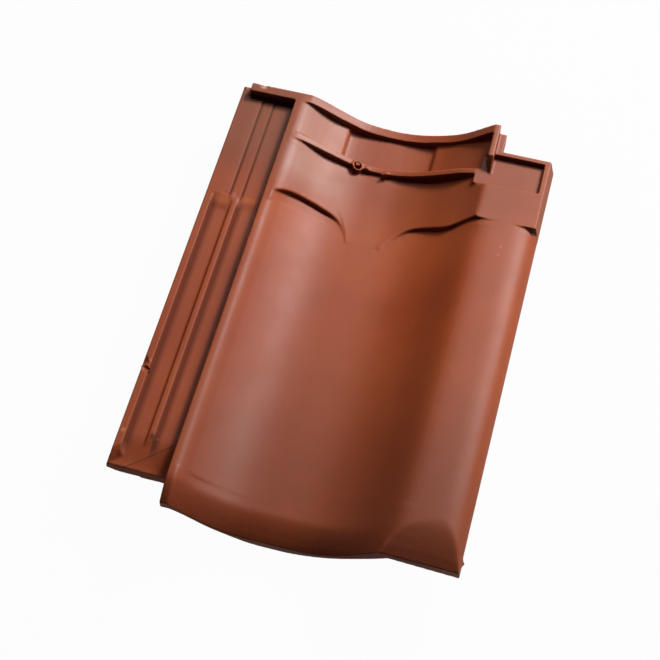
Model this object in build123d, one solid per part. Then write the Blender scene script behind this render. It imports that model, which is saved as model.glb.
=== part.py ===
from build123d import *
import os

# Overall size: x across from the side lock to the roll, y from foot to head, z up
TILE_WIDTH = 260.0
TILE_LENGTH = 368.0
SHELL_THICKNESS = 10.5

# Heights above the outer strip of the side lock, and depths below the band
BAND_TOP = 7.0
CROWN_TOP = 13.5
TROUGH_DEPTH = 27.3
LAP_DEPTH = 28.2
RIB_DEPTH = 24.2
RIM_DEPTH = 23.7

# Places across, from the left edge and from the right edge
BAND_LEFT = 47.0
BAND_WIDTH = 6.0
ROLL_HALF = 24.0
PAD_WIDTH = 50.0
PAD_SIDE = 3.5
LIP_DRAFT = 2.2
LIP_TOP_DROP = 8.5
LIP_BOTTOM = -1.5

# Section shares across the span and down the depth, chosen by eye
TROUGH_SHARES = (
    (0.045, 0.275), (0.115, 0.60), (0.215, 0.895), (0.40, 1.0), (0.58, 0.91), (0.70, 0.60), (0.80, 0.147),
    (0.836, -0.03), (0.869, -0.157), (0.907, -0.22), (0.956, -0.236),
)
LAP_SHARES = (
    (0.06, 0.15), (0.176, 0.56), (0.281, 0.80), (0.355, 0.931), (0.395, 0.963), (0.43, 0.974), (0.47, 0.980),
    (0.569, 0.952), (0.618, 0.897), (0.669, 0.817), (0.722, 0.71), (0.869, 0.262), (0.935, 0.03),
)
RIB_SHARES = (
    (0.07, 0.12), (0.15, 0.335), (0.26, 0.64), (0.37, 0.90), (0.50, 1.0),
    (0.63, 0.87), (0.77, 0.54), (0.90, 0.13),
)
RIM_SHARES = (
    (0.11, 0.31), (0.21, 0.64), (0.30, 0.87), (0.42, 0.985), (0.50, 1.0),
    (0.61, 0.91), (0.72, 0.70), (0.83, 0.37),
)

# Lap zone at the head, measured from the head end, and its two curled steps
LAP_LENGTH = 92.3
PAD_LENGTH = 86.0
TIP_REACH = 25.0
CURL_WIDTH = 21.0
LEFT_TIP_SHARE = 0.337
RIGHT_TIP_SHARE = 0.488
STEP_ROUND = 2.0

# Second rib, head rim and the channel between them
RIB_BACKSET = 44.0
RIB_THICKNESS = 5.5
RIM_THICKNESS = 8.0
RIM_FLAT = 6.5
POCKET_LEFT_SHARE = 0.22
POCKET_RIGHT_SHARE = 0.607
NAIL_HOLE = 5.0
NAIL_HOLE_DEPTH = 6.0
NAIL_PLACE_SHARE = 0.295

# Corner block: pad, bare sunk recess, end wall and its step
RECESS_FOOT_BACKSET = 53.0
CORNER_BACKSET = 21.0
RECESS_DEPTH = 4.0
RECESS_RIM = 4.2
RECESS_SIDE = 8.0
PLATFORM_REACH = 59.5
END_WALL_REACH = 52.5
END_WALL = 4.4
END_WALL_TOP = 19.0
END_WALL_LENGTH = 30.5
END_WALL_POINT = 11.5
END_STEP = 6.0
END_STEP_BACKSET = 4.0

# Side lock strip
STRIP_FOOT = 20.0
STRIP_FOOT_SLOPE = 1.6
STRIP_EDGE_DRAFT = 2.4
STRIP_EDGE_HEIGHT = 10.5
STRIP_DEPTH = 15.0
STRIP_DEPTH_AT_EDGE = 13.2
STRIP_EDGE_FLAT = 8.0
STRIP_A_RIGHT = 15.3
STRIP_B_RIGHT = 20.6
STRIP_D_RIGHT = 30.0
LEDGE_EASE = 0.5
SCORE_WIDTH = 1.7
SCORE_DEPTH = 0.8
LEDGE_B = 0.4
LEDGE_D = 1.8
LEDGE_F = 3.0
OUTER_RIB_RIGHT = 7.9
INNER_RIB_LEFT = 24.2
INNER_RIB_RIGHT = 28.2
CHANNEL_FLOOR = 5.8
RIB_SIDE_DRAFT = 1.2
CHANNEL_ROUND = 4.6
CHANNEL_SHARES = ((0.05, 0.30), (0.15, 0.58), (0.33, 0.80), (0.60, 0.94), (1.0, 1.0))
CHANNEL_BACKSET = 114.5
CHANNEL_RAMP = 8.0
CHANNEL_LEAD = 5.0

# Slanting drain at the strip's foot: rib ends and the crease run the same way
DRAIN_ANGLE = 38.0
RIB_END_PLACE = 16.3
RIB_END_BEVEL = 8.0
CREASE_PLACE = 8.4
CREASE_FALL_SHARE = 0.09

# Bar across the strip's head
BAR_LEFT = 9.3
BAR_THICKNESS = 7.8

# Foot nose: run and fall of its round over the trough and over the roll
NOSE_RUN = 20.0
NOSE_FALL = 8.0
ROLL_NOSE_RUN = 31.0
ROLL_NOSE_FALL = 10.4
ROLL_NOSE_TILT_SHARE = 0.05
NOSE_DROP = 15.2
NOSE_LIP_DEPTH = 6.4
NOSE_THICKNESS = 13.0
NOSE_FADE = 45.0
NOSE_SHARES = ((0.0, 0.0), (0.15, 0.05), (0.35, 0.20), (0.55, 0.40), (0.78, 0.68), (1.0, 1.0))

# Roll hollow, its hook rib and the clearance to the next tile's side lock
FIT_CLEARANCE = 1.5
LIP_THICKNESS = 8.5
HOOK_THICKNESS = 5.0
HOOK_DEPTH = 5.5

# Batten nibs under the head
NIB_WIDTH = 30.0
NIB_THICKNESS = 14.0
NIB_HEIGHT = 13.0
NIB_BACKSET = 38.0
NIB_TAPER = 2.5
NIB_SHARES = (0.17, 0.685)

# Reach of the cutting bodies past the tile
REACH = 40.0
DEEP = -90.0

# Places worked out from the sizes above
BAND_RIGHT = BAND_LEFT + BAND_WIDTH
crown_place = TILE_WIDTH - ROLL_HALF
trough_span = crown_place - BAND_RIGHT
pad_left = TILE_WIDTH - PAD_WIDTH
pad_right = TILE_WIDTH - PAD_SIDE
wall_left = TILE_WIDTH - END_WALL_REACH
wall_right = wall_left + END_WALL
platform_left = TILE_WIDTH - PLATFORM_REACH
cover_width = TILE_WIDTH - BAND_LEFT
lap_end = TILE_LENGTH - LAP_LENGTH
pad_end = TILE_LENGTH - PAD_LENGTH
rib_front = TILE_LENGTH - RIB_BACKSET
rib_back = rib_front + RIB_THICKNESS
rim_front = TILE_LENGTH - RIM_THICKNESS
recess_foot = TILE_LENGTH - RECESS_FOOT_BACKSET
corner_head = TILE_LENGTH - CORNER_BACKSET
recess_floor = CROWN_TOP - RECESS_DEPTH
channel_head = TILE_LENGTH - CHANNEL_BACKSET


# A point of a cross section at one place along the tile
def at(x, y, z):
    return Vector(x, y, z)


# Points of a section from its left end to its right end, by shares of span and depth
def section(left, right, depth, shares, end_height):
    span = right - left
    inner = [(left + span * a, BAND_TOP - depth * d) for a, d in shares]
    return [(left, BAND_TOP)] + inner + [(right, end_height)]


# A smooth curve through section points lying across the tile
def across(points, y, start, end):
    return Spline(*[at(x, y, z) for x, z in points], tangents=((1, 0, start), (1, 0, end)))


# A body under a section curve, level with its ends from left to right
def body_under(curve, left, right, y_foot, y_head):
    first = curve @ 0
    last = curve @ 1
    corners = [
        at(left, y_foot, first.Z),
        at(left, y_foot, DEEP),
        at(right, y_foot, DEEP),
        at(right, y_foot, last.Z),
    ]
    edges = [Line(first, corners[0])] if first.X > left else []
    edges += [Line(corners[i], corners[i + 1]) for i in range(3)]
    edges += [Line(corners[3], last)] if last.X < right else []
    return extrude(Face(Wire(edges + [curve])), amount=y_head - y_foot, dir=(0, 1, 0))


# A body from a closed outline across the tile
def prism_across(points, y_foot, y_head):
    wire = Wire.make_polygon([at(x, y_foot, z) for x, z in points], close=True)
    return extrude(Face(wire), amount=y_head - y_foot, dir=(0, 1, 0))


# A body from a closed outline seen from the side
def prism_along(points, x_left, x_right):
    wire = Wire.make_polygon([at(x_left, y, z) for y, z in points], close=True)
    return extrude(Face(wire), amount=x_right - x_left, dir=(1, 0, 0))


# A plain block between two corners
def block(x0, x1, y0, y1, z0, z1):
    return prism_across([(x0, z0), (x1, z0), (x1, z1), (x0, z1)], y0, y1)


# The pan's own section: band, trough, roll and lip
trough_points = section(BAND_RIGHT, crown_place, TROUGH_DEPTH, TROUGH_SHARES, CROWN_TOP)


# The trough falls in full at the nose, and less and less toward the roll
def nose_share(x):
    return min(1, max(0, (pad_left - x) / NOSE_FADE))


def pan_face(y, drop):
    trough = across([(x, z - drop * nose_share(x)) for x, z in trough_points], y, -0.75, 0)
    roll = Spline(
        at(crown_place, y, CROWN_TOP),
        at(TILE_WIDTH - LIP_DRAFT, y, CROWN_TOP - LIP_TOP_DROP),
        at(TILE_WIDTH, y, LIP_BOTTOM),
        tangents=((1, 0, 0), (0.12, 0, -1)),
    )
    left_top = at(BAND_LEFT, y, BAND_TOP - drop)
    left_low = at(BAND_LEFT, y, DEEP)
    right_low = at(TILE_WIDTH, y, DEEP)
    edges = [Line(left_top, trough @ 0), trough, roll, Line(roll @ 1, right_low)]
    edges += [Line(right_low, left_low), Line(left_low, left_top)]
    return Face(Wire(edges))


def pan_body(y_foot, y_head):
    return extrude(pan_face(y_foot, 0), amount=y_head - y_foot, dir=(0, 1, 0))


# The foot nose falls away from the trough in an even round
nose_faces = [pan_face(NOSE_RUN * (1 - a), NOSE_FALL * d) for a, d in NOSE_SHARES]
pan = pan_body(NOSE_RUN, TILE_LENGTH) + loft(nose_faces)

# Over the roll the nose is one straight round across, falling a little to the lip
roll_tilt = Vector(1, 0, -ROLL_NOSE_TILT_SHARE).normalized()
roll_lift = (crown_place - pad_left + NOSE_FADE) * ROLL_NOSE_TILT_SHARE
roll_nose = Spline(*[
    at(pad_left - NOSE_FADE, ROLL_NOSE_RUN * (1 - a), CROWN_TOP + roll_lift - ROLL_NOSE_FALL * d)
    for a, d in NOSE_SHARES
])
nose_corners = [
    roll_nose @ 1,
    roll_nose @ 1 + at(0, -REACH, 0),
    roll_nose @ 1 + at(0, -REACH, REACH),
    roll_nose @ 0 + at(0, 0, REACH),
    roll_nose @ 0,
]
nose_edges = [roll_nose] + [Line(nose_corners[i], nose_corners[i + 1]) for i in range(4)]
pan = pan - extrude(Face(Wire(nose_edges)), amount=PAD_WIDTH + NOSE_FADE + REACH, dir=roll_tilt)

# The lap zone: a flatter section that ends toward the foot in two curled steps
lap_points = section(BAND_RIGHT, pad_left, LAP_DEPTH, LAP_SHARES, CROWN_TOP)
lap_start = lap_end - TIP_REACH - REACH
lap_curve = across(lap_points, lap_start, -0.15, 0.75)
lap = body_under(lap_curve, BAND_LEFT, pad_right, lap_start, rim_front)
left_tip = BAND_RIGHT + trough_span * LEFT_TIP_SHARE
right_tip = BAND_RIGHT + trough_span * RIGHT_TIP_SHARE
tip_end = lap_end - TIP_REACH
left_curl = Spline(
    at(BAND_RIGHT, lap_end - BAND_WIDTH, DEEP),
    at(BAND_RIGHT + CURL_WIDTH / 2, lap_end, DEEP),
    at(left_tip - CURL_WIDTH, lap_end, DEEP),
    at(left_tip, tip_end, DEEP),
    tangents=((1, 0.7, 0), (0.3, -1, 0)),
)
right_curl = Spline(
    at(right_tip, tip_end, DEEP),
    at(right_tip + CURL_WIDTH, lap_end, DEEP),
    at(pad_left - CURL_WIDTH, lap_end, DEEP),
    at(pad_left, pad_end, DEEP),
    tangents=((0.6, 1, 0), (1, 0.3, 0)),
)
plan_corners = [
    right_curl @ 1,
    at(pad_right, pad_end, DEEP),
    at(pad_right, recess_foot, DEEP),
    at(platform_left, recess_foot, DEEP),
    at(platform_left, rib_back, DEEP),
    at(wall_left, rib_back, DEEP),
    at(wall_left, rim_front, DEEP),
    at(BAND_LEFT, rim_front, DEEP),
    at(BAND_LEFT, lap_end - BAND_WIDTH, DEEP),
    left_curl @ 0,
]
plan_edges = [left_curl, Line(left_curl @ 1, right_curl @ 0), right_curl]
plan_edges += [Line(a, b) for a, b in zip(plan_corners, plan_corners[1:])]
lap = lap & extrude(Face(Wire(plan_edges)), amount=REACH - DEEP, dir=(0, 0, 1))
foot_edges = [
    e for e in lap.edges()
    if e.center().Y < pad_end + STEP_ROUND and e.center().Z > -TROUGH_DEPTH and e.geom_type != GeomType.LINE
]
lap = fillet(foot_edges, STEP_ROUND)
tile = pan + lap

# Second rib across the lap zone, and the head rim
rib_points = section(BAND_RIGHT, platform_left, RIB_DEPTH, RIB_SHARES, recess_floor)
rib_curve = across(rib_points, rib_front, -0.05, 0.3)
tile = tile + body_under(rib_curve, BAND_LEFT, wall_left, rib_front, rib_back)
rim_points = section(BAND_RIGHT + RIM_FLAT, wall_left, RIM_DEPTH, RIM_SHARES, END_WALL_TOP)
rim_curve = across(rim_points, rim_front, -0.3, 0.8)
tile = tile + body_under(rim_curve, BAND_LEFT, wall_right, rim_front, TILE_LENGTH)

# Corner block with the pad and its sunk recess
tile = tile + block(platform_left, wall_left, recess_foot, rib_back, DEEP, recess_floor)
tile = tile + block(wall_left, pad_right, recess_foot, corner_head, DEEP, CROWN_TOP)
side_face = [(pad_right, CROWN_TOP), (TILE_WIDTH, LIP_BOTTOM), (TILE_WIDTH, DEEP), (pad_right, DEEP)]
tile = tile + prism_across(side_face, pad_end, corner_head)
recess_right = TILE_WIDTH - RECESS_SIDE
tile = tile - block(platform_left, recess_right, recess_foot, corner_head - RECESS_RIM, recess_floor, REACH)

# Behind the corner the tile is cut back, with the end wall and its step left standing
tile = tile - block(wall_right, TILE_WIDTH + REACH, corner_head, TILE_LENGTH + REACH, DEEP, REACH)
step_head = TILE_LENGTH - END_STEP_BACKSET
tile = tile + block(wall_right, wall_right + END_STEP, corner_head, step_head, DEEP, CROWN_TOP)
wall_foot = TILE_LENGTH - END_WALL_LENGTH
wall_plan = Wire.make_polygon([
    at(wall_left, TILE_LENGTH, DEEP),
    at(wall_left, wall_foot, DEEP),
    at(wall_right, wall_foot - END_WALL_POINT, DEEP),
    at(wall_right + LEDGE_EASE, wall_foot - END_WALL_POINT, DEEP),
    at(wall_right + LEDGE_EASE, wall_foot, DEEP),
    at(wall_right, TILE_LENGTH, DEEP),
], close=True)
wall_side = [
    (TILE_LENGTH, DEEP),
    (TILE_LENGTH, END_WALL_TOP),
    (wall_foot, END_WALL_TOP),
    (wall_foot - END_WALL_POINT, recess_floor),
    (wall_foot - END_WALL_POINT, DEEP),
]
wall = extrude(Face(wall_plan), amount=END_WALL_TOP - DEEP, dir=(0, 0, 1))
tile = tile + (wall & prism_along(wall_side, wall_left - REACH, wall_right + REACH))

# Sunk pocket in the head channel, down to the pan's own section
pocket_left = BAND_RIGHT + trough_span * POCKET_LEFT_SHARE
pocket_right = BAND_RIGHT + trough_span * POCKET_RIGHT_SHARE
pocket = block(pocket_left, pocket_right, rib_back, rim_front, DEEP, REACH)
tile = tile - (pocket - pan_body(rib_back, rim_front))

# Closed nail hole in the second rib
nail_x = BAND_RIGHT + trough_span * NAIL_PLACE_SHARE
nail_top = BAND_TOP - RIB_DEPTH + NAIL_HOLE
nail_middle = nail_top - NAIL_HOLE_DEPTH / 2 - NAIL_HOLE / 2
nail_y = rib_front + RIB_THICKNESS / 2
tile = tile - Pos(nail_x, nail_y, nail_middle) * Cylinder(NAIL_HOLE / 2, NAIL_HOLE_DEPTH + NAIL_HOLE)

# Underside: an even shell under the trough, level under the band
shell_points = []
for i in range(1, len(trough_points) - 1):
    before, here, after = trough_points[i - 1:i + 2]
    run = Vector(after[0] - before[0], after[1] - before[1]).normalized()
    shell_points.append((here[0] + run.Y * SHELL_THICKNESS, here[1] - run.X * SHELL_THICKNESS))
hollow_left = cover_width - FIT_CLEARANCE
hollow_right = TILE_WIDTH - LIP_THICKNESS
hollow_top = FIT_CLEARANCE
band_under = (BAND_RIGHT + BAND_WIDTH, -STRIP_DEPTH)
shell_low = -STRIP_DEPTH - SHELL_THICKNESS / 2
shell_middle = crown_place - trough_span / 2
shell_points = [p for p in shell_points if p[1] < shell_low or p[0] > shell_middle]
shell_points = [p for p in shell_points if p[0] < hollow_left - SHELL_THICKNESS]
shell_run = [band_under] + shell_points + [(hollow_left, hollow_top)]
nose_run = [(x, z - NOSE_DROP) for x, z in lap_points]


# Space under a run of points, level to the left of it
def under_body(points, y_foot, y_head):
    curve = Spline(*[at(x, y_foot, z) for x, z in points])
    left = at(BAND_LEFT, y_foot, points[0][1])
    low_left = at(BAND_LEFT, y_foot, DEEP - REACH)
    low_right = at(points[-1][0], y_foot, DEEP - REACH)
    corners = [curve @ 1, low_right, low_left, left, curve @ 0]
    edges = [curve] + [Line(a, b) for a, b in zip(corners, corners[1:])]
    return extrude(Face(Wire(edges)), amount=y_head - y_foot, dir=(0, 1, 0))


tile = tile - under_body(shell_run, NOSE_THICKNESS, TILE_LENGTH)
tile = tile - under_body(nose_run, 0, NOSE_THICKNESS)

# Roll hollow over the next tile's side lock, closed at the foot by the nose
tile = tile - block(hollow_left, hollow_right, NOSE_THICKNESS, TILE_LENGTH, DEEP - REACH, hollow_top)
nose_low = [
    (pad_left, CROWN_TOP - NOSE_DROP),
    (TILE_WIDTH, -NOSE_LIP_DEPTH),
    (TILE_WIDTH + REACH, -NOSE_LIP_DEPTH),
    (TILE_WIDTH + REACH, DEEP - REACH),
    (pad_left, DEEP - REACH),
]
tile = tile - prism_across(nose_low, 0, NOSE_THICKNESS)
tile = tile - block(hollow_right, TILE_WIDTH + REACH, NOSE_THICKNESS, TILE_LENGTH, DEEP - REACH, LIP_BOTTOM)

# Hook rib under the roll, in line with the next tile's outer channel
hook_left = cover_width + (OUTER_RIB_RIGHT + INNER_RIB_LEFT - HOOK_THICKNESS) / 2
hook_foot = STRIP_FOOT + NOSE_THICKNESS
hook_head = channel_head - FIT_CLEARANCE
hook_low = hollow_top - HOOK_DEPTH
hook_right = hook_left + HOOK_THICKNESS
hook_root = hollow_top + FIT_CLEARANCE
tile = tile + block(hook_left, hook_right, hook_foot, hook_head, hook_low, hook_root)

# Side lock strip with its low ledges
strip_section = [
    (0, -STRIP_EDGE_HEIGHT),
    (STRIP_EDGE_DRAFT, 0),
    (STRIP_A_RIGHT, 0),
    (STRIP_B_RIGHT, -LEDGE_B),
    (STRIP_B_RIGHT + LEDGE_EASE, -LEDGE_D - SCORE_DEPTH),
    (STRIP_B_RIGHT + SCORE_WIDTH, -LEDGE_D),
    (STRIP_D_RIGHT, -LEDGE_D),
    (STRIP_D_RIGHT + LEDGE_EASE, -LEDGE_F - SCORE_DEPTH),
    (STRIP_D_RIGHT + SCORE_WIDTH, -LEDGE_F),
    (BAND_RIGHT, -LEDGE_F),
    (BAND_RIGHT, -STRIP_DEPTH),
    (STRIP_EDGE_FLAT, -STRIP_DEPTH_AT_EDGE),
]
strip = prism_across(strip_section, STRIP_FOOT, TILE_LENGTH)

# Two channels, round beside each rib, with short head ramps
floor = -CHANNEL_FLOOR


def rounded_side(rib_right, rib_top):
    return [(rib_right + CHANNEL_ROUND * a, rib_top + (floor - rib_top) * d) for a, d in CHANNEL_SHARES]


ramp_side = [
    (-REACH, floor),
    (channel_head, floor),
    (channel_head + CHANNEL_RAMP, 0),
    (channel_head + CHANNEL_RAMP, REACH),
    (-REACH, REACH),
]
ramp = prism_along(ramp_side, -REACH, BAND_RIGHT + REACH)
channel_one = [(OUTER_RIB_RIGHT, 0)]
channel_one += rounded_side(OUTER_RIB_RIGHT, 0)
channel_one += [
    (INNER_RIB_LEFT - RIB_SIDE_DRAFT, floor),
    (INNER_RIB_LEFT, -LEDGE_D),
    (INNER_RIB_LEFT, REACH),
    (OUTER_RIB_RIGHT, REACH),
]
channel_two = [(INNER_RIB_RIGHT, -LEDGE_D)]
channel_two += rounded_side(INNER_RIB_RIGHT, -LEDGE_D)
channel_two += [
    (BAND_RIGHT + REACH, floor),
    (BAND_RIGHT + REACH, REACH),
    (INNER_RIB_RIGHT, REACH),
]
strip = strip - (prism_across(channel_one, -REACH, TILE_LENGTH) & ramp)
ramp_two = ramp.moved(Location((0, CHANNEL_LEAD, 0)))
strip = strip - (prism_across(channel_two, -REACH, TILE_LENGTH) & ramp_two)

# Rib ends and crease slant across the foot of the strip, so it drains to the left
rib_end_side = [
    (-REACH, floor),
    (RIB_END_PLACE, floor),
    (RIB_END_PLACE + RIB_END_BEVEL, 0),
    (RIB_END_PLACE + RIB_END_BEVEL, REACH),
    (-REACH, REACH),
]
crease_side = [
    (CREASE_PLACE, floor),
    (CREASE_PLACE, REACH),
    (-REACH, REACH),
    (-REACH, floor - (REACH + CREASE_PLACE) * CREASE_FALL_SHARE),
]
drain = Rot(0, 0, DRAIN_ANGLE)
drain_length = TILE_WIDTH
drain_zone = block(-REACH, BAND_LEFT + REACH, -REACH, STRIP_FOOT + BAND_LEFT + REACH, DEEP, REACH)
strip = strip - ((drain * prism_along(rib_end_side, -drain_length, drain_length)) & drain_zone)
strip = strip - ((drain * prism_along(crease_side, -drain_length, drain_length)) & drain_zone)
foot_slope = [
    (STRIP_FOOT, -STRIP_DEPTH),
    (STRIP_FOOT + STRIP_FOOT_SLOPE, floor),
    (STRIP_FOOT + STRIP_FOOT_SLOPE, REACH),
    (-REACH, REACH),
    (-REACH, -STRIP_DEPTH),
]
strip = strip - prism_along(foot_slope, -REACH, BAND_RIGHT + REACH)
tile = tile + strip

# Bar across the strip's head, level with the band
bar_foot = TILE_LENGTH - BAR_THICKNESS
tile = tile + block(BAR_LEFT, BAND_RIGHT, bar_foot, TILE_LENGTH, floor, BAND_TOP)


# Batten nibs under the head, rooted in the shell
nib_face = TILE_LENGTH - NIB_BACKSET
nib_low = BAND_TOP - TROUGH_DEPTH - SHELL_THICKNESS - NIB_HEIGHT
nib_side = [
    (nib_face, CROWN_TOP),
    (nib_face, nib_low),
    (nib_face + NIB_THICKNESS - NIB_TAPER, nib_low),
    (nib_face + NIB_THICKNESS, nib_low + NIB_HEIGHT),
    (nib_face + NIB_THICKNESS, CROWN_TOP),
]
shell_middle_body = pan_body(nib_face - REACH, TILE_LENGTH).moved(Location((0, 0, -SHELL_THICKNESS / 2)))
for share in NIB_SHARES:
    nib_left = BAND_RIGHT + trough_span * share - NIB_WIDTH / 2
    tile = tile + (prism_along(nib_side, nib_left, nib_left + NIB_WIDTH) & shell_middle_body)

# Stored with its lowest point on the floor and its middle over the origin
lowest = tile.bounding_box().min.Z
tile = Pos(-TILE_WIDTH / 2, -TILE_LENGTH / 2, -lowest) * tile
os.makedirs("parts", exist_ok=True)
export_step(tile, "parts/roof_tile.step")
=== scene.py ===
import math

import bmesh
import bpy
import numpy as np
from mathutils import Matrix, Vector
from mathutils.kdtree import KDTree


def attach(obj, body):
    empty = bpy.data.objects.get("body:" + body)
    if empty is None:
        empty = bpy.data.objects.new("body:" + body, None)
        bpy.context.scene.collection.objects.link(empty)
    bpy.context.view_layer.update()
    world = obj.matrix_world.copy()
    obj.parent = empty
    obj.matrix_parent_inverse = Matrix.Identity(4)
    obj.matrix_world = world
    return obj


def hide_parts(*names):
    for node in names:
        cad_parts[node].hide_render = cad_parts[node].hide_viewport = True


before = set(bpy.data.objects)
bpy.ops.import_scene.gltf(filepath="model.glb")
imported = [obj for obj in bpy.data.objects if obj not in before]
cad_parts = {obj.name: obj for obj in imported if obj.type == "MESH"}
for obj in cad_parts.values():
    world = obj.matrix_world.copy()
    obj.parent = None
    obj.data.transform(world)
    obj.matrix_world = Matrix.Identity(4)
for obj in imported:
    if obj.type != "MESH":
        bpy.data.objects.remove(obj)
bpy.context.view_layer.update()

# Sizes in metres. The tile's own corner is where its side lock, foot and strip level meet.
TILE_CORNER = Vector((-0.130, -0.184, 0.0438))
MERGE_REACH = 0.00001
CLAY_GRAIN = 0.00065
EDGE_SOFTENING = 6
SMOOTH_FACTOR = 0.5
TRIANGLE_BUDGET = 185000

# Worn edges and painted shade in hollow corners: how far a point stands out when fully marked, and
# how many rounds of neighbours it is measured against. A face turned to the foot starts at the
# first tilt; near the head it gets painted shade.
EDGE_STAND = 0.0002
EDGE_ROUNDS = 6
FOOT_TILT = 0.35
FOOT_TILT_RUN = 0.4

# Faces drawn straight along the tile, in millimetres: side (1 weather, -1 hidden), left, right,
# spread of the drawing across, width of its fade at left and right, and the foot and head limits
PAN_FOOT = ((47, 25), (150, 25), (165, 36), (257, 36))
PAN_HEAD = (
    (47, 262), (53, 264), (60, 268), (94, 270), (103, 266), (108, 259), (112, 250), (115, 244),
    (143, 244), (147, 252), (153, 262), (164, 270), (189, 270), (210, 277), (257, 277),
)
LAP_FOOT = (
    (47, 280), (94, 283), (103, 279), (108, 272), (112, 264), (115, 254), (143, 254),
    (147, 264), (153, 274), (164, 283), (189, 284), (206, 288),
)
LAP_HEAD = ((47, 320), (190, 320), (195, 309), (206, 309))
STRAIGHT_FACES = (
    (1, 49.0, 74.0, 2.0, 1.0, PAN_FOOT, PAN_HEAD),
    (1, 60.0, 236.0, 3.0, 5.0, PAN_FOOT, PAN_HEAD),
    (1, 214.0, 257.0, 1.4, 4.0, PAN_FOOT, PAN_HEAD),
    (1, 49.0, 74.0, 2.0, 1.0, LAP_FOOT, LAP_HEAD),
    (1, 60.0, 205.0, 3.0, 4.0, LAP_FOOT, LAP_HEAD),
    (1, 100.0, 165.0, 4.0, 8.0, LAP_FOOT, LAP_HEAD),
    (-1, 62.0, 204.0, 2.0, 4.0, ((62, 18), (204, 18)), ((62, 325), (204, 325))),
)
BLEND = 4.0
FACE_TILT = 0.25
FACE_INSET = 2
DEEPEST_WEATHER = -24.0
DRAWING_STEP = 0.5
DRAWING_REACH = 4
FEWEST_POINTS = 20

# Small damage from stacking, in millimetres: place, size, turn in degrees about the tile's height
CHIPS = (
    ((1.8, 104.2, 1.4), (3.8, 5.4, 3.2), 6),
    ((5.6, 98.6, 0.4), (4.4, 2.0, 3.6), -18),
    ((19.5, 367.8, 8.4), (5.4, 3.0, 2.4), 6),
    ((25.4, 369.0, 8.2), (1.7, 1.9, 2.4), 0),
    ((30.0, 369.2, 8.0), (2.4, 1.7, 2.2), 0),
    ((126.0, 323.0, -15.4), (2.4, 2.0, 2.6), 30),
    ((56.0, 348.4, 3.4), (0.9, 0.9, 1.6), 0),
    ((55.6, 329.6, 8.0), (3.2, 1.8, 1.8), 10),
)
CLAY_CRUMBS = (
    ((6.6, 105.4, -0.9), (1.9, 2.6, 1.5), 15),
    ((130.5, 323.6, -16.4), (4.4, 1.8, 2.3), 35),
    ((114.6, 325.5, -16.3), (2.2, 1.7, 1.4), 10),
    ((3.6, 366.6, 0.1), (1.5, 1.2, 1.1), 0),
    ((260.0, 9.8, -3.0), (1.5, 1.8, 1.6), 0),
)
CHIP_RIPPLES = ((0.10, (9.0, 4.0, 0.0)), (0.08, (0.0, 13.0, -7.0)))
LUMP_PULL = (0.82, 1.12)
NAIL_RIM_PLACE = (107.5, 325.0, -14.4)
NAIL_RIM_RADIUS = 3.9
NAIL_RIM_THICKNESS = 0.8
NAIL_RIM_TILT = 21.0
NAIL_RIM_UNEVEN = (0.85, 1.15)
NAIL_RIM_STEPS = 28
NAIL_RIM_SIDES = 10
NAIL_WELL_RADIUS = 3.0
NAIL_WELL_FLOOR = -21.0
NAIL_WELL_RISE = 8
NAIL_WELL_CURVE = 6

# Relief of the side lock as a share of its height in the solid, and the ramps of its channels,
# in millimetres: left, right, foot, head, height at the foot and at the head
LOCK_RELIEF = 0.42
LOCK_LEFT = 2.6
LOCK_RIGHT = 49.0
LOCK_DEEPEST = -9.0
LOCK_TILT = -0.3
LOCK_EASE_FOOT = 22.0
LOCK_EASE_RUN = 26.0
RAMP_OVERRUN = 4.0
LOCK_RAMPS = (
    (8.2, 24.4, 249.0, 260.5, -2.44, -0.3),
    (28.4, 48.0, 252.0, 263.0, -2.44, -1.26),
)

# Places rubbed soft while the clay was damp, in millimetres: left, right, foot, head, fade, passes
SOFT_PLACES = (
    (168.0, 262.0, 6.0, 46.0, 5.0, 45),
    (46.0, 175.0, 5.0, 32.0, 5.0, 20),
    (250.0, 262.0, 30.0, 279.0, 3.0, 25),
    (85.0, 101.0, 329.0, 361.0, 3.0, 60),
    (156.0, 172.0, 329.0, 361.0, 3.0, 60),
    (9.0, 46.0, 248.0, 268.0, 3.0, 12),
    (198.0, 222.0, 284.0, 316.0, 5.0, 110),
)
SOFT_LEVELS = 8
HIDDEN_TILT = -0.2

# Colour by place, in millimetres: where it starts, is full, fades and stops across, along and above
# the tile, its share, its tone and how far it is dulled. Painted shade darkens the rib sides and
# sits in the scored lines, the ramps are a brighter orange, the trough is darker towards the foot,
# a painted sheen lightens the pad and rim at the head's left and the head of the strip is greyer.
BODY_TONES = ((0.40, 0.066, 0.014), (0.52, 0.100, 0.022))
BODY_SCALE = 9.0
RIB_SIDE_SHADE = (0.13, 0.021, 0.006)
# Painted shade for the scored lines, the ends of the ribs and faces turned to the foot
PAINTED_SHADE = (0.07, 0.013, 0.005)
RAMP_ORANGE = (0.72, 0.19, 0.055)
FOOT_DARKENING = (0.24, 0.048, 0.016)
PAINTED_SHEEN = (0.66, 0.38, 0.30)
HEAD_STRIP_GREY = (0.16, 0.095, 0.062)
DULLED_ROUGHNESS = 0.95
RIB_RUN = (30.0, 40.0, 252.0, 259.0)
LINE_RUN = (258.0, 264.0, 356.0, 362.0)
LOCK_HEIGHT = (-11.0, -9.0, 30.0, 31.0)
ANY_HEIGHT = (-99.0, -98.0, 98.0, 99.0)
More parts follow.
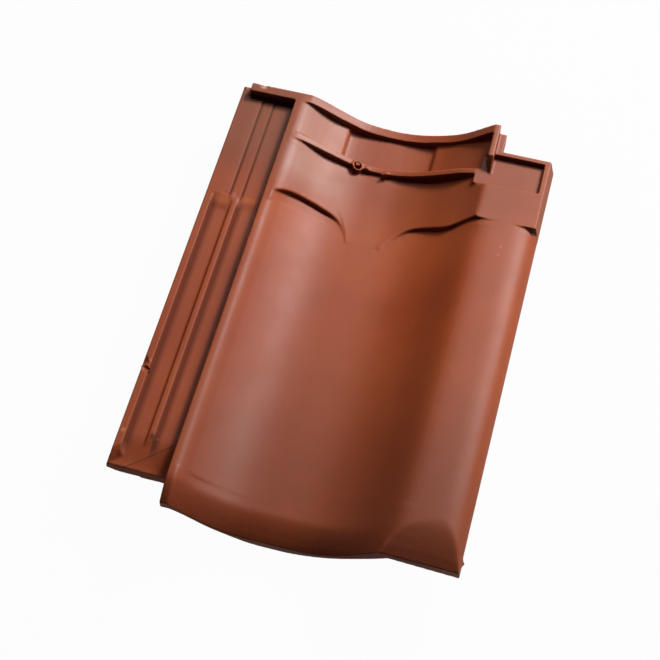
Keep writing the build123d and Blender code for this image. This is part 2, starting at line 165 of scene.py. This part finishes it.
COLOUR_BANDS = (
    # Painted shade on the right sides of the two ribs
    ((7.4, 8.4, 10.8, 15.0), RIB_RUN, LOCK_HEIGHT, 0.85, RIB_SIDE_SHADE, 1.0),
    ((27.6, 28.6, 31.0, 35.0), RIB_RUN, LOCK_HEIGHT, 0.85, RIB_SIDE_SHADE, 1.0),
    # Painted shade in the scored lines between the strip's ledges
    ((19.9, 20.3, 21.7, 22.5), LINE_RUN, LOCK_HEIGHT, 0.8, PAINTED_SHADE, 1.0),
    ((29.3, 29.7, 31.1, 31.9), LINE_RUN, LOCK_HEIGHT, 0.8, PAINTED_SHADE, 1.0),
    # The ramps at the channel heads are a brighter orange
    ((10.0, 15.0, 20.0, 23.0), (252.0, 256.0, 259.0, 263.0), LOCK_HEIGHT, 0.5, RAMP_ORANGE, 0.5),
    ((29.0, 34.0, 43.0, 46.0), (257.0, 260.0, 262.0, 265.0), LOCK_HEIGHT, 0.5, RAMP_ORANGE, 0.5),
    # The pan and the roll are darker towards the foot
    ((40.0, 60.0, 240.0, 262.0), (-5.0, 0.0, 60.0, 190.0), ANY_HEIGHT, 0.55, FOOT_DARKENING, 0.0),
    ((140.0, 185.0, 262.0, 266.0), (-5.0, 0.0, 30.0, 110.0), ANY_HEIGHT, 0.5, FOOT_DARKENING, 0.2),
    # Painted sheen on the pad and rim at the head's left
    ((50.0, 58.0, 82.0, 100.0), (285.0, 300.0, 362.0, 370.0), ANY_HEIGHT, 0.28, PAINTED_SHEEN, 0.0),
    # The head of the strip is greyer
    ((-5.0, -2.0, 44.0, 54.0), (280.0, 320.0, 380.0, 381.0), ANY_HEIGHT, 0.30, HEAD_STRIP_GREY, 0.0),
)
HEAD_DULLNESS = 0.3
HEAD_DULL_RUN = (262.0, 300.0)
HEAD_DULL = (0.20, 0.041, 0.014)
# Painted shade on faces turned to the foot near the head: where it grows along the tile, and its
# share
HEAD_FRONT_RUN = (200.0, 240.0)
HEAD_FRONT_SHARE = 0.85
WORN = (0.62, 0.15, 0.045)
WORN_SHARE = 0.22
CORNER_SHADE = (0.22, 0.040, 0.014)
CORNER_SHADE_SHARE = 0.4

# Patches in the fired skin: scale, detail, where the noise starts and is full, share, tone
SKIN_PATCHES = (
    (6.0, 4.0, 0.48, 0.72, 0.35, (0.23, 0.050, 0.016)),
    (55.0, 4.0, 0.3, 0.7, 0.18, (0.36, 0.082, 0.024)),
    (1400.0, 2.0, 0.35, 0.75, 0.16, (0.24, 0.048, 0.014)),
)
SATIN = (0.47, 0.55)
SATIN_SCALE = 30.0
GRAIN_SCALE = 900.0
GRAIN_STRENGTH = 0.12
GRAIN_HEIGHT = 0.0006
DRAIN_SPAN = (8.0, 16.0, 45.0, 47.0)
DRAIN_SHARE = 0.6
DRAIN_TURN = math.radians(38.0)
DRAIN_LINE = (7.7, 8.2, 8.6, 9.1)
FLECK_CORE = 0.35
FLECKS = (
    ((19.3, 366.2, 7.0), 3.2, 0.8, (0.85, 0.42, 0.26)),
    ((5.5, 47.0, -1.0), 2.6, 0.6, (0.80, 0.33, 0.16)),
    ((31.0, 46.7, -4.0), 2.0, 0.6, (0.75, 0.25, 0.09)),
    ((234.0, 259.5, 13.5), 1.6, 0.18, (0.85, 0.50, 0.38)),
    ((233.4, 252.0, 13.5), 1.6, 0.18, (0.85, 0.50, 0.38)),
    # Painted shade in the small pit
    ((55.9, 348.6, 3.0), 1.2, 0.8, (0.05, 0.015, 0.008)),
    # Painted shade on the ends of the two ribs
    ((26.6, 48.0, -2.0), 3.6, 0.75, PAINTED_SHADE),
    ((8.8, 29.5, -2.0), 3.8, 0.7, PAINTED_SHADE),
    ((133.0, 323.6, -15.4), 2.0, 0.6, (0.80, 0.30, 0.12)),
)


# Studio, in metres and watts: lamp, place, width, height and power
FLOOR_REACH = 6.0
FLOOR_GREY = 0.50
FLOOR_WHITE = 0.97
FLOOR_MIRRORED = 0.3
LAMP_AIM = (0.0, 0.02, 0.03)
LAMPS = (
    ("softbox_behind_head", (0.86, 1.65, 1.50), 0.50, 0.45, 36.0),
    ("dim_panel_above", (0.0, 0.80, 1.00), 0.80, 0.50, 3.0),
    ("panel_right", (0.87, 0.96, 0.97), 0.70, 0.50, 10.0),
)
ROOM_LIGHT = 0.01
CAMERA_PLACE = (0.1423, -0.6127, 1.0696)
CAMERA_RIGHT = Vector((0.9676, 0.2522, 0.0083))
CAMERA_UP = Vector((-0.2208, 0.8305, 0.5113))
CAMERA_AHEAD = Vector((-0.1220, 0.4966, -0.8594))
CAMERA_LENS = 88.49


# A place given in millimetres across, along and above the strip of the side lock
def on_tile(across, along, above):
    return TILE_CORNER + Vector((across, along, above)) / 1000


def plain_mesh(thing):
    bpy.context.view_layer.update()
    seen = thing.evaluated_get(bpy.context.evaluated_depsgraph_get())
    return bpy.data.meshes.new_from_object(seen)


def add_object(name, mesh):
    thing = bpy.data.objects.new(name, mesh)
    bpy.context.scene.collection.objects.link(thing)
    return thing


# Rough lumps, each a ball pulled out of round
def rough_lumps(shape, lumps, rng):
    for place, size, turn in lumps:
        made = bmesh.ops.create_icosphere(shape, subdivisions=2, radius=1.0)
        spin = Matrix.Rotation(math.radians(turn), 3, "Z")
        for corner in made["verts"]:
            pull = corner.co * rng.uniform(*LUMP_PULL)
            stretched = Vector((pull.x * size[0], pull.y * size[1], pull.z * size[2]))
            corner.co = on_tile(*(Vector(place) + spin @ stretched))


# Chips: clay inside each rough hollow is pressed back to the hollow's wall
def knock_chips(mesh):
    place, _ = point_arrays(mesh)
    for middle, size, turn in CHIPS:
        spin = np.array(Matrix.Rotation(math.radians(turn), 3, "Z"))
        away = ((place - np.array(on_tile(*middle))) * 1000) @ spin / np.array(size)
        reach = np.maximum(np.linalg.norm(away, axis=1), 1e-6)
        ray = away / reach[:, None]
        rough = 1 + sum(height * np.sin(ray @ np.array(waves)) for height, waves in CHIP_RIPPLES)
        inside = reach < rough
        moved = ray[inside] * rough[inside, None] * np.array(size) @ spin.T / 1000
        place[inside] = moved + np.array(on_tile(*middle))
    mesh.vertices.foreach_set("co", place.ravel())
    mesh.update()


# The nail hole is a plain round well
def sink_nail_hole(mesh):
    place, _ = point_arrays(mesh)
    x, y, z = ((place - np.array(TILE_CORNER)) * 1000).T
    reach = np.hypot(x - NAIL_RIM_PLACE[0], y - NAIL_RIM_PLACE[1]) / NAIL_WELL_RADIUS
    well = NAIL_WELL_FLOOR + NAIL_WELL_RISE * reach**NAIL_WELL_CURVE
    sunk = (reach < 1) & (z > well)
    place[sunk, 2] = well[sunk] / 1000 + TILE_CORNER.z
    mesh.vertices.foreach_set("co", place.ravel())
    mesh.update()


# The clay pushed up around the nail hole
def nail_rim(shape, rng):
    tilt = Matrix.Rotation(math.radians(NAIL_RIM_TILT), 3, "Y")
    rings = []
    for i in range(NAIL_RIM_STEPS):
        around = 2 * math.pi * i / NAIL_RIM_STEPS
        thick = NAIL_RIM_THICKNESS * rng.uniform(*NAIL_RIM_UNEVEN)
        ring = []
        for j in range(NAIL_RIM_SIDES):
            over = 2 * math.pi * j / NAIL_RIM_SIDES
            reach = NAIL_RIM_RADIUS + thick * math.cos(over)
            height = thick * math.sin(over)
            spot = Vector((reach * math.cos(around), reach * math.sin(around), height))
            ring.append(shape.verts.new(on_tile(*(Vector(NAIL_RIM_PLACE) + tilt @ spot))))
        rings.append(ring)
    for i, ring in enumerate(rings):
        after = rings[(i + 1) % len(rings)]
        for j in range(NAIL_RIM_SIDES):
            k = (j + 1) % NAIL_RIM_SIDES
            shape.faces.new((ring[j], after[j], after[k], ring[k]))


# Points and normals of a mesh as arrays
def point_arrays(mesh):
    arrays = []
    for key in ("co", "normal"):
        flat = np.zeros(len(mesh.vertices) * 3)
        mesh.vertices.foreach_get(key, flat)
        arrays.append(flat.reshape(-1, 3))
    return arrays


# Rounds the chosen places of the weather face further than the rest
def rub_soft(body):
    for left, right, foot, head, fade, passes in SOFT_PLACES:
        place, normal = point_arrays(body.data)
        spot = (place - np.array(TILE_CORNER)) * 1000
        share = np.ones(len(spot))
        for axis, start, stop in ((0, left, right), (1, foot, head)):
            rise = np.clip((spot[:, axis] - start) / fade, 0, 1)
            fall = np.clip((stop - spot[:, axis]) / fade, 0, 1)
            share *= rise * fall
        share[normal[:, 2] < HIDDEN_TILT] = 0
        group = body.vertex_groups.new(name="rubbed")
        for level in range(1, SOFT_LEVELS + 1):
            chosen = np.nonzero(np.ceil(share * SOFT_LEVELS) == level)[0]
            group.add(chosen.tolist(), level / SOFT_LEVELS, "REPLACE")
        soft = body.modifiers.new("rubbed soft", "SMOOTH")
        soft.factor = SMOOTH_FACTOR
        soft.iterations = passes
        soft.vertex_group = group.name
        body.data = plain_mesh(body)
        body.modifiers.clear()
        body.vertex_groups.clear()


# From none to all without a kink
def gentle(share):
    share = np.clip(share, 0, 1)
    return share * share * (3 - 2 * share)


# Lowers the side lock's relief and starts its channels in long ramps
def ease_side_lock(mesh):
    place, normal = point_arrays(mesh)
    spot = (place - np.array(TILE_CORNER)) * 1000
    x, y, z = spot.T
    weather = (x > LOCK_LEFT) & (x < LOCK_RIGHT) & (z < 0) & (z > LOCK_DEEPEST)
    weather &= normal[:, 2] > LOCK_TILT
    eased = gentle((y[weather] - LOCK_EASE_FOOT) / LOCK_EASE_RUN)
    z[weather] *= 1 - (1 - LOCK_RELIEF) * eased
    for left, right, ramp_foot, ramp_head, low, high in LOCK_RAMPS:
        ramp = low + (high - low) * (y - ramp_foot) / (ramp_head - ramp_foot)
        under = weather & (x > left) & (x < right) & (z < ramp)
        under &= (y > ramp_foot) & (y < ramp_head + RAMP_OVERRUN)
        z[under] = np.minimum(ramp[under], high)
    mesh.vertices.foreach_set("co", (spot / 1000 + np.array(TILE_CORNER)).ravel())
    mesh.update()


# Takes the flat spots of the coarse mesh out of the faces that run straight along the tile
def draw_straight(mesh):
    place, normal = point_arrays(mesh)
    spot = (place - np.array(TILE_CORNER)) * 1000
    for side, left, right, spread, fade, foot, head in STRAIGHT_FACES:
        start = np.interp(spot[:, 0], *np.array(foot, float).T)
        stop = np.interp(spot[:, 0], *np.array(head, float).T)
        share = gentle((spot[:, 1] - start) / BLEND) * gentle((stop - spot[:, 1]) / BLEND)
        share[normal[:, 2] * side < FACE_TILT] = 0
        if side > 0:
            share[spot[:, 2] < DEEPEST_WEATHER] = 0
        step = DRAWING_STEP
        low = max(left - DRAWING_REACH * spread, foot[0][0] + FACE_INSET)
        high = min(right + DRAWING_REACH * spread, foot[-1][0])
        sure = (share > 0.99) & (spot[:, 0] > low) & (spot[:, 0] < high)
        share = share * gentle((spot[:, 0] - left) / fade) * gentle((right - spot[:, 0]) / fade)
        edges = np.arange(low, high + step, step)
        which = np.clip(np.digitize(spot[:, 0], edges) - 1, 0, len(edges) - 2)
        total = np.bincount(which[sure], weights=spot[sure, 2], minlength=len(edges) - 1)
        count = np.bincount(which[sure], minlength=len(edges) - 1)
        middle = (edges[:-1] + edges[1:]) / 2
        known = count > FEWEST_POINTS
        height = np.interp(middle, middle[known], total[known] / count[known])
        reach = int(DRAWING_REACH * spread / step)
        weight = np.exp(-0.5 * (np.arange(-reach, reach + 1) * step / spread) ** 2)
        slope_ends = np.pad(height, reach, mode="reflect", reflect_type="odd")
        height = np.convolve(slope_ends, weight / weight.sum(), mode="valid")
        share[(spot[:, 0] < middle[known][0]) | (spot[:, 0] > middle[known][-1])] = 0
        spot[:, 2] += share * (np.interp(spot[:, 0], middle, height) - spot[:, 2])
    place = spot / 1000 + np.array(TILE_CORNER)
    mesh.vertices.foreach_set("co", place.ravel())
    mesh.update()


# The fired body: the moulded shape with its edges worn round by pressing and firing
def fired_body():
    rng = np.random.default_rng(11)
    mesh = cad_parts["roof_tile"].data.copy()
    mesh.materials.clear()
    shape = bmesh.new()
    shape.from_mesh(mesh)
    bmesh.ops.remove_doubles(shape, verts=shape.verts, dist=MERGE_REACH)
    rough_lumps(shape, CLAY_CRUMBS, rng)
    nail_rim(shape, rng)
    shape.to_mesh(mesh)
    shape.free()
    body = add_object("fired_tile", mesh)
    grain = body.modifiers.new("clay grain", "REMESH")
    grain.mode = "VOXEL"
    grain.voxel_size = CLAY_GRAIN
    body.data = plain_mesh(body)
    body.modifiers.clear()
    ease_side_lock(body.data)
    knock_chips(body.data)
    sink_nail_hole(body.data)
    soft = body.modifiers.new("soft edges", "SMOOTH")
    soft.factor = SMOOTH_FACTOR
    soft.iterations = EDGE_SOFTENING
    body.data = plain_mesh(body)
    body.modifiers.clear()
    rub_soft(body)
    fine = body.data
    draw_straight(fine)
    triangles = 2 * len(fine.polygons)
    thin = body.modifiers.new("thin flat parts", "DECIMATE")
    thin.ratio = min(1.0, TRIANGLE_BUDGET / triangles)
    body.data = plain_mesh(body)
    body.modifiers.clear()
    body.data.shade_smooth()
    mark_relief(fine, body.data)
    return body


# How far each point of the fine mesh stands out from its neighbours, kept on the thinned mesh
# for worn edges and painted shade in hollow corners, and which faces turn to the foot, for painted
# shade on them
def mark_relief(fine, mesh):
    count = len(fine.vertices)
    place, normal = point_arrays(fine)
    ends = np.zeros(len(fine.edges) * 2, np.int64)
    fine.edges.foreach_get("vertices", ends)
    ends = ends.reshape(-1, 2)
    both = np.concatenate([ends, ends[:, ::-1]])
    links = np.maximum(np.bincount(both[:, 0], minlength=count), 1)

    def spread(values):
        return np.bincount(both[:, 0], weights=values[both[:, 1]], minlength=count) / links

    wide = place.copy()
    for _ in range(EDGE_ROUNDS):
        wide = np.stack([spread(wide[:, i]) for i in range(3)], 1)
    stand = spread(((place - wide) * normal).sum(1))
    nearest = KDTree(count)
    for i, corner in enumerate(fine.vertices):
        nearest.insert(corner.co, i)
    nearest.balance()
    near = [nearest.find(corner.co)[1] for corner in mesh.vertices]
    marks = (
        ("worn_edge", stand / EDGE_STAND),
        ("painted_corner_shade", -stand / EDGE_STAND),
        ("foot_facing", (-normal[:, 1] - FOOT_TILT) / FOOT_TILT_RUN),
    )
    for name, values in marks:
        layer = mesh.attributes.new(name, "FLOAT", "POINT")
        layer.data.foreach_set("value", np.clip(values[near], 0, 1).astype(np.float32))


# Helpers that lay out a material's nodes
class Nodes:
    def __init__(self, material):
        material.use_nodes = True
        self.tree = material.node_tree
        self.tree.nodes.clear()

    def add(self, kind, **settings):
        node = self.tree.nodes.new(kind)
        for key, value in settings.items():
            setattr(node, key, value)
        return node

    def join(self, out, into):
        self.tree.links.new(out, into)

    def noise(self, coordinates, scale, detail=3.0, roughness=0.55):
        node = self.add("ShaderNodeTexNoise")
        node.inputs["Scale"].default_value = scale
        node.inputs["Detail"].default_value = detail
        node.inputs["Roughness"].default_value = roughness
        self.join(coordinates, node.inputs["Vector"])
        return node.outputs["Fac"]

    def stretch(self, value, low, high, to_low=0.0, to_high=1.0):
        node = self.add("ShaderNodeMapRange")
        node.inputs["From Min"].default_value = low
        node.inputs["From Max"].default_value = high
        node.inputs["To Min"].default_value = to_low
        node.inputs["To Max"].default_value = to_high
        self.join(value, node.inputs["Value"])
        return node.outputs["Result"]

    def times(self, first, second):
        node = self.add("ShaderNodeMath", operation="MULTIPLY")
        for value, socket in ((first, node.inputs[0]), (second, node.inputs[1])):
            if isinstance(value, float):
                socket.default_value = value
            else:
                self.join(value, socket)
        return node.outputs["Value"]

    # Full between two places, fading out on both sides
    def span(self, value, start, full, fade, stop):
        rise = self.stretch(value, start, full)
        return self.times(rise, self.stretch(value, fade, stop, 1.0, 0.0))

    # Full at one place on the tile, fading out around it
    def fleck(self, spot, place, reach):
        node = self.add("ShaderNodeVectorMath", operation="DISTANCE")
        node.inputs[1].default_value = place
        self.join(spot, node.inputs[0])
        return self.stretch(node.outputs["Value"], FLECK_CORE * reach, reach, 1.0, 0.0)

    def mix(self, share, first, second):
        node = self.add("ShaderNodeMix", data_type="RGBA")
        sockets = (node.inputs[0], node.inputs[6], node.inputs[7])
        for value, socket in zip((share, first, second), sockets):
            if isinstance(value, float):
                socket.default_value = value
            elif isinstance(value, tuple):
                socket.default_value = (*value, 1.0)
            else:
                self.join(value, socket)
        return node.outputs[2]

    def blend(self, share, first, second):
        node = self.add("ShaderNodeMix", data_type="FLOAT")
        self.join(share, node.inputs[0])
        self.join(first, node.inputs[2])
        node.inputs[3].default_value = second
        return node.outputs[0]


# Fired clay with a satin slip: orange body, random smoky patches, a trough darker towards the foot,
# worn edges, painted shade in the corners, scored lines, beside the ribs and on faces turned to the
# foot, and a painted sheen at the head
def fired_clay():
    material = bpy.data.materials.new("fired_clay")
    n = Nodes(material)
    place = n.add("ShaderNodeTexCoord").outputs["Object"]
    worn = n.add("ShaderNodeAttribute", attribute_name="worn_edge").outputs["Fac"]
    painted_corner_shade = n.add("ShaderNodeAttribute", attribute_name="painted_corner_shade").outputs["Fac"]
    foot_facing = n.add("ShaderNodeAttribute", attribute_name="foot_facing").outputs["Fac"]
    broad = n.stretch(n.noise(place, BODY_SCALE), 0.35, 0.65)
    colour = n.mix(broad, *BODY_TONES)
    for scale, detail, start, full, share, tone in SKIN_PATCHES:
        patch = n.stretch(n.noise(place, scale, detail), start, full)
        colour = n.mix(n.times(patch, share), colour, tone)
    shifted = n.add("ShaderNodeVectorMath", operation="SUBTRACT")
    shifted.inputs[1].default_value = TILE_CORNER
    n.join(place, shifted.inputs[0])
    scaled = n.add("ShaderNodeVectorMath", operation="SCALE")
    scaled.inputs["Scale"].default_value = 1000.0
    n.join(shifted.outputs["Vector"], scaled.inputs[0])
    spot = scaled.outputs["Vector"]
    split = n.add("ShaderNodeSeparateXYZ")
    n.join(spot, split.inputs["Vector"])
    across, along, above = split.outputs["X"], split.outputs["Y"], split.outputs["Z"]
    head_dull = n.times(n.stretch(along, *HEAD_DULL_RUN), HEAD_DULLNESS)
    colour = n.mix(head_dull, colour, HEAD_DULL)
    gloss = n.stretch(n.noise(place, SATIN_SCALE), 0.3, 0.7, *SATIN)
    # Some bands are painted shade beside the ribs and in the scored lines, one is a painted sheen
    # at the head
    for spans, reach, heights, share, tone, dulled in COLOUR_BANDS:
        plan_share = n.times(n.span(across, *spans), n.span(along, *reach))
        place_share = n.times(plan_share, n.span(above, *heights))
        colour = n.mix(n.times(place_share, share), colour, tone)
        if dulled > 0:
            gloss = n.blend(n.times(place_share, dulled), gloss, DULLED_ROUGHNESS)
    # Painted shade along the slanted ends of the ribs
    crease = n.add("ShaderNodeVectorMath", operation="DOT_PRODUCT")
    crease.inputs[1].default_value = (-math.sin(DRAIN_TURN), math.cos(DRAIN_TURN), 0.0)
    n.join(spot, crease.inputs[0])
    mark = n.times(n.span(crease.outputs["Value"], *DRAIN_LINE), n.span(across, *DRAIN_SPAN))
    mark = n.times(mark, n.span(above, *LOCK_HEIGHT))
    colour = n.mix(n.times(mark, DRAIN_SHARE), colour, PAINTED_SHADE)
    for middle, size, share, tone in FLECKS:
        colour = n.mix(n.times(n.fleck(spot, middle, size), share), colour, tone)
    colour = n.mix(n.times(worn, WORN_SHARE), colour, WORN)
    # Painted shade in hollow corners
    colour = n.mix(n.times(painted_corner_shade, CORNER_SHADE_SHARE), colour, CORNER_SHADE)
    # Painted shade on the faces turned to the foot near the head
    head_front_shade = n.times(foot_facing, n.stretch(along, *HEAD_FRONT_RUN, 0.0, HEAD_FRONT_SHARE))
    colour = n.mix(head_front_shade, colour, PAINTED_SHADE)
    grain = n.noise(place, GRAIN_SCALE)
    bump = n.add("ShaderNodeBump")
    bump.inputs["Strength"].default_value = GRAIN_STRENGTH
    bump.inputs["Distance"].default_value = GRAIN_HEIGHT
    n.join(grain, bump.inputs["Height"])
    shader = n.add("ShaderNodeBsdfPrincipled")
    n.join(colour, shader.inputs["Base Color"])
    n.join(gloss, shader.inputs["Roughness"])
    n.join(bump.outputs["Normal"], shader.inputs["Normal"])
    out = n.add("ShaderNodeOutputMaterial")
    n.join(shader.outputs["BSDF"], out.inputs["Surface"])
    return material


# A pale studio floor that keeps the shadow and looks white to the camera
def studio_floor():
    shape = bmesh.new()
    bmesh.ops.create_grid(shape, x_segments=4, y_segments=4, size=FLOOR_REACH)
    mesh = bpy.data.meshes.new("studio_floor")
    shape.to_mesh(mesh)
    shape.free()
    floor = add_object("studio_floor", mesh)
    material = bpy.data.materials.new("pale_floor")
    n = Nodes(material)
    matt = n.add("ShaderNodeBsdfDiffuse")
    matt.inputs["Color"].default_value = (FLOOR_GREY, FLOOR_GREY, FLOOR_GREY, 1)
    glow = n.add("ShaderNodeEmission")
    path = n.add("ShaderNodeLightPath")
    seen = n.add("ShaderNodeMath", operation="MAXIMUM")
    n.join(path.outputs["Is Camera Ray"], seen.inputs[0])
    n.join(path.outputs["Is Transmission Ray"], seen.inputs[1])
    also = n.add("ShaderNodeMath", operation="MAXIMUM")
    n.join(n.times(seen.outputs["Value"], FLOOR_WHITE), also.inputs[0])
    n.join(n.times(path.outputs["Is Glossy Ray"], FLOOR_MIRRORED), also.inputs[1])
    mix = n.add("ShaderNodeMixShader")
    n.join(also.outputs["Value"], mix.inputs["Fac"])
    n.join(matt.outputs["BSDF"], mix.inputs[1])
    n.join(glow.outputs["Emission"], mix.inputs[2])
    out = n.add("ShaderNodeOutputMaterial")
    n.join(mix.outputs["Shader"], out.inputs["Surface"])
    mesh.materials.append(material)


def softbox(name, place, width, height, power):
    lamp = bpy.data.lights.new(name, "AREA")
    lamp.shape = "RECTANGLE"
    lamp.size = width
    lamp.size_y = height
    lamp.energy = power
    box = bpy.data.objects.new(name, lamp)
    bpy.context.scene.collection.objects.link(box)
    box.location = place
    box.rotation_euler = (Vector(LAMP_AIM) - Vector(place)).to_track_quat("-Z", "Y").to_euler()
    box.visible_camera = False


def studio_light():
    for lamp in LAMPS:
        softbox(*lamp)
    world = bpy.data.worlds.new("studio")
    bpy.context.scene.world = world
    world.use_nodes = True
    room = world.node_tree.nodes["Background"]
    room.inputs["Color"].default_value = (1, 1, 1, 1)
    room.inputs["Strength"].default_value = ROOM_LIGHT


# The camera stands over the foot, a little to the right
def photo_camera():
    lens = bpy.data.cameras.new("photo_camera")
    lens.sensor_width = 36.0
    lens.lens = CAMERA_LENS
    lens.clip_start = 0.05
    lens.clip_end = 50.0
    camera = bpy.data.objects.new("photo_camera", lens)
    bpy.context.scene.collection.objects.link(camera)
    turn = Matrix((CAMERA_RIGHT, CAMERA_UP, -CAMERA_AHEAD)).transposed()
    camera.matrix_world = Matrix.Translation(CAMERA_PLACE) @ turn.to_4x4()
    bpy.context.scene.camera = camera


bpy.context.scene.view_settings.view_transform = "Standard"
tile = fired_body()
tile.data.materials.append(fired_clay())
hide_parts("roof_tile")
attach(tile, "root")
studio_floor()
studio_light()
photo_camera()
